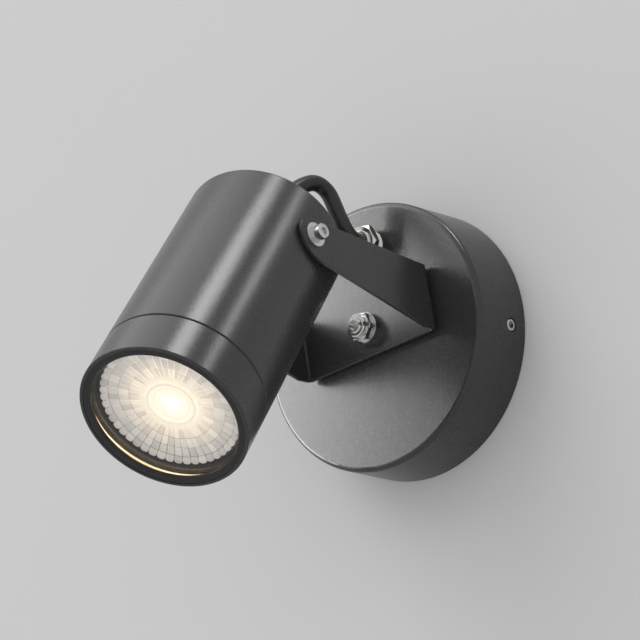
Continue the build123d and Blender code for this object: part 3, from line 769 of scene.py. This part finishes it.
def shaped_tube(name, local_frame, inner, heights, radius_at):
    """Tube with a plain bore, whose outer radius is given for each height and share of a turn."""
    work = bmesh.new()
    shares = [side / thread_sides for side in range(thread_sides)]

    def loop(height, radii):
        corners = []
        for radius, turn in zip(radii, shares):
            place = Vector((radius * cos(tau * turn), radius * sin(tau * turn), height))
            corners.append(work.verts.new(local_frame @ place))
        return corners

    bore = [inner] * thread_sides
    loops = [loop(heights[0], bore)]
    loops += [loop(height, [radius_at(height, turn) for turn in shares]) for height in heights]
    loops.append(loop(heights[-1], bore))
    for first, second in zip(loops, loops[1:] + loops[:1]):
        for side in range(thread_sides):
            follow = (side + 1) % thread_sides
            work.faces.new((first[side], first[follow], second[follow], second[side]))
    return finished(work, name)


def thread_heights(low, high, pitch):
    rows = round((high - low) / pitch * thread_steps)
    return [low + (high - low) * row / rows for row in range(rows + 1)]


def thread_cut(height, turn, pitch):
    """From 0 on the crest of a helical thread to 1 at its root."""
    flank = abs(2 * ((height / pitch - turn) % 1.0) - 1)
    return min(max(thread_slope * flank - thread_crest, 0.0), 1.0)


def hexagon_radius(flats, turn):
    """Radius, at a share of a turn, of a hexagon that is flats across."""
    return flats / 2 / cos(((turn * 6) % 1.0 - 0.5) * tau / 6)


# ---------------------------------------------------------------- threads of the glands
gland_radius = 6.0 * MM
gland_bore_radius = 4.5 * MM
gland_thread_pitch = 1.0 * MM
gland_thread_depth = 0.45 * MM
gland_showing = 3.0 * MM
gland_inner_length = 8.0 * MM
canopy_face_wall = 2.5 * MM
head_rear_wall = 3.0 * MM


def make_gland_thread(name, node, local_frame, wall, body):
    """Threaded body of a gland, from inside the wall that it goes through to under its cap."""
    heights = thread_heights(-wall - gland_inner_length, gland_showing, gland_thread_pitch)

    def radius_at(height, turn):
        return gland_radius - gland_thread_depth * thread_cut(height, turn, gland_thread_pitch)

    mesh = shaped_tube(name, local_frame, gland_bore_radius, heights, radius_at)
    piece = add_piece(name, mesh, "nickel", body, smooth=False)
    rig.replaces(piece, node)


make_gland_thread("canopy_gland_thread", "canopy_gland_body",
                  frame_at(above_gland(0.0), outward, level_axis), canopy_face_wall, "wall_unit")
make_gland_thread("head_gland_thread", "head_gland_body",
                  frame_at(behind_head(0.0), -lamp_front, across), head_rear_wall, "head")

# ---------------------------------------------------------------- lock nut and swivel bolt
nut_flats = 10.0 * MM
nut_hex_height = 3.3 * MM
nut_height = 5.0 * MM
nut_collar_radius = 4.3 * MM
nut_chamfer = 0.45 * MM
nut_edge = 0.15 * MM
nut_end_share = 0.97
nut_corner_slope = 1.7
step_height = 0.001 * MM
bolt_radius = 3.0 * MM
bolt_end_break = 0.5 * MM
bolt_end_height = 10.1 * MM
bolt_head_low = -8.1 * MM
bolt_head_high = -4.1 * MM
bolt_core_bore = 0.02 * MM
bolt_pitch = 1.0 * MM
bolt_thread_depth = 0.4 * MM
bolt_recess_radius = 1.9 * MM
bolt_recess_depth = 1.0 * MM
yoke_base_height = 2.6 * MM
washer_thickness = 1.6 * MM


def make_lock_nut():
    """Hexagon nut with a round collar, as a lock nut has."""
    foot = swivel_centre + outward * (yoke_base_height + washer_thickness)
    collar_edge = nut_height - nut_chamfer

    def radius_at(height, turn):
        if height > nut_hex_height:
            return nut_collar_radius - max(height - collar_edge, 0.0)
        from_end = min(height, nut_hex_height - height)
        end_radius = nut_flats / 2 * nut_end_share
        return min(hexagon_radius(nut_flats, turn), end_radius + nut_corner_slope * from_end)

    hexagon = [0.0, nut_edge, nut_chamfer,
               nut_hex_height - nut_chamfer, nut_hex_height - nut_edge, nut_hex_height]
    collar = [nut_hex_height + step_height, collar_edge, collar_edge + nut_chamfer / 2, nut_height]
    mesh = shaped_tube("lock_nut", frame_at(foot, outward, level_axis), bolt_radius,
                       hexagon + collar, radius_at)
    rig.replaces(add_piece("lock_nut", mesh, "stainless", "wall_unit", smooth=False), "swivel_nut")


def make_bolt():
    """Hexagon bolt in three pieces: threaded shank, head, and a core that stops short of the
    shank's end and so leaves the recess there."""
    bolt_frame = frame_at(swivel_centre, outward, level_axis)
    core_top = bolt_end_height - bolt_recess_depth

    def shank_radius(height, turn):
        thread = bolt_radius - bolt_thread_depth * thread_cut(height, turn, bolt_pitch)
        return min(thread, bolt_radius - bolt_end_break + (bolt_end_height - height))

    def head_radius(height, turn):
        return hexagon_radius(nut_flats, turn)

    def core_radius_at(height, turn):
        return bolt_recess_radius

    shank_heights = thread_heights(bolt_head_high, bolt_end_height, bolt_pitch)
    pieces = {
        "swivel_bolt_shank": (bolt_recess_radius, shank_heights, shank_radius),
        "swivel_bolt_head": (bolt_recess_radius, [bolt_head_low, bolt_head_high], head_radius),
        "swivel_bolt_core": (bolt_core_bore, [bolt_head_low, core_top], core_radius_at),
    }
    for name, (inner, heights, radius_at) in pieces.items():
        mesh = shaped_tube(name, bolt_frame, inner, heights, radius_at)
        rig.replaces(add_piece(name, mesh, "stainless", "wall_unit", smooth=False), "swivel_bolt")


make_lock_nut()
make_bolt()

# ---------------------------------------------------------------- stage
wall_gap = 0.3 * MM
wall_half = 1.5
wall_middle_height = 0.3
wall_opening_radius = 51.0 * MM
wall_opening_sides = 64
wall_colour = grey(0.78)
floor_drop = 0.9
floor_colour = grey(0.7)


def opened_wall_mesh(name):
    """Square wall with a round opening, hidden by the canopy, that lets light onto its back."""
    mesh = bpy.data.meshes.new(name)
    opening_centre = Vector((0.0, wall_gap, 0.0))
    wall_centre = Vector((0.0, wall_gap, wall_middle_height))
    places = []
    for side in range(wall_opening_sides):
        angle = tau * side / wall_opening_sides
        towards = Vector((cos(angle), 0.0, sin(angle)))
        to_edge = wall_half / max(abs(towards.x), abs(towards.z))
        places.append(opening_centre + towards * wall_opening_radius)
        places.append(wall_centre + towards * to_edge)
    count = len(places)
    faces = [(low, low + 1, (low + 3) % count, (low + 2) % count) for low in range(0, count, 2)]
    mesh.from_pydata(places, [], faces)
    return mesh


def floor_mesh(name):
    """Square floor in front of the wall."""
    mesh = bpy.data.meshes.new(name)
    centre = Vector((0.0, -wall_half, -floor_drop))
    corners = [(-wall_half, -wall_half), (wall_half, -wall_half),
               (wall_half, wall_half), (-wall_half, wall_half)]
    mesh.from_pydata([centre + Vector((x, y, 0.0)) for x, y in corners], [], [(0, 1, 2, 3)])
    return mesh


def stage_material(name, colour, one_sided):
    """Matt surface. A one-sided one can't be seen from behind."""
    shader = Shader(name, Roughness=0.9, Specular_IOR_Level=0.0)
    cloud = shader.noise(scale=3.0, detail=3.0)
    shader.drive("Base Color", shader.blotches(cloud, tinted(colour, 0.99), colour))
    if one_sided:
        away = shader.add("ShaderNodeNewGeometry").outputs["Backfacing"]
        shader.drive("Alpha", shader.spread(away, 1.0, 0.0, 0.0, 1.0))
    return shader.material


def stage_piece(name, mesh, material):
    mesh.materials.append(material)
    piece = bpy.data.objects.new(name, mesh)
    bpy.context.scene.collection.objects.link(piece)
    return piece


wall_material = stage_material("wall", wall_colour, one_sided=True)
wall = stage_piece("wall", opened_wall_mesh("wall"), wall_material)
floor_material = stage_material("floor", floor_colour, one_sided=False)
floor = stage_piece("floor", floor_mesh("floor"), floor_material)
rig.stage(wall, floor)


# ---------------------------------------------------------------- lights
def soft_light(name, place, target, long_axis, long_side, short_side, radiance, only_on=()):
    """Rectangular soft light that faces a target, its long side as near as can be to long_axis.
    One that is only on some pieces is a reflector: it shows in their gloss and nowhere else."""
    data = bpy.data.lights.new(name, "AREA")
    data.shape = "RECTANGLE"
    data.size = long_side
    data.size_y = short_side
    data.energy = radiance * pi * long_side * short_side
    light = bpy.data.objects.new(name, data)
    bpy.context.scene.collection.objects.link(light)
    back = (Vector(place) - target).normalized()
    along = (long_axis - back * long_axis.dot(back)).normalized()
    light.matrix_world = frame_at(Vector(place), back, along)
    light.visible_camera = False
    if only_on:
        light.visible_diffuse = False
        light.visible_transmission = False
        lit = bpy.data.collections.new(name)
        for lit_name in only_on:
            lit.objects.link(nodes.get(lit_name) or bpy.data.objects[lit_name])
        light.light_linking.receiver_collection = lit


object_middle = Vector((0.0, -0.08, 0.0))
canopy_face = Vector((0.0, -0.03, -0.03))
head_edge = Vector((0.026, -0.143, -0.01))
head_edge_axis = Vector((0.9, 0.0, 0.43))
head_paint = ("head_tube", "bezel")
lead_halves = ("lead_wall_half", "lead_head_half")
world_strength = 0.67

soft_light("key", place=(-2.4, -2.9, 3.4), target=object_middle, long_axis=level_axis,
           long_side=3.6, short_side=3.6, radiance=1.6)
soft_light("canopy_panel", place=(-0.647, -0.393, 0.10), target=canopy_face,
           long_axis=upright_axis, long_side=0.7, short_side=0.5, radiance=11.5,
           only_on=("canopy", "yoke"))
soft_light("ceiling_panel", place=(-0.70, -0.32, 1.30), target=object_middle,
           long_axis=level_axis, long_side=1.6, short_side=1.1, radiance=1.4,
           only_on=(*head_paint, "canopy", "yoke", *lead_halves))
soft_light("streak_panel", place=(0.215, -0.16, 0.80), target=object_middle,
           long_axis=depth_axis, long_side=0.32, short_side=0.19, radiance=10.5,
           only_on=(*head_paint, "canopy", *lead_halves))
soft_light("edge_panel", place=(0.180, -0.035, 0.203), target=head_edge,
           long_axis=head_edge_axis, long_side=0.17, short_side=0.035, radiance=6.0,
           only_on=head_paint)

world = bpy.data.worlds.new("world")
world.use_nodes = True
background = world.node_tree.nodes["Background"]
background.inputs["Color"].default_value = (*grey(1.0), 1.0)
background.inputs["Strength"].default_value = world_strength
bpy.context.scene.world = world

low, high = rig.bounds()
with open("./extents.json", "w") as size_file:
    json.dump({"cad": [list(cad_low), list(cad_high)], "visual": [list(low), list(high)]}, size_file)
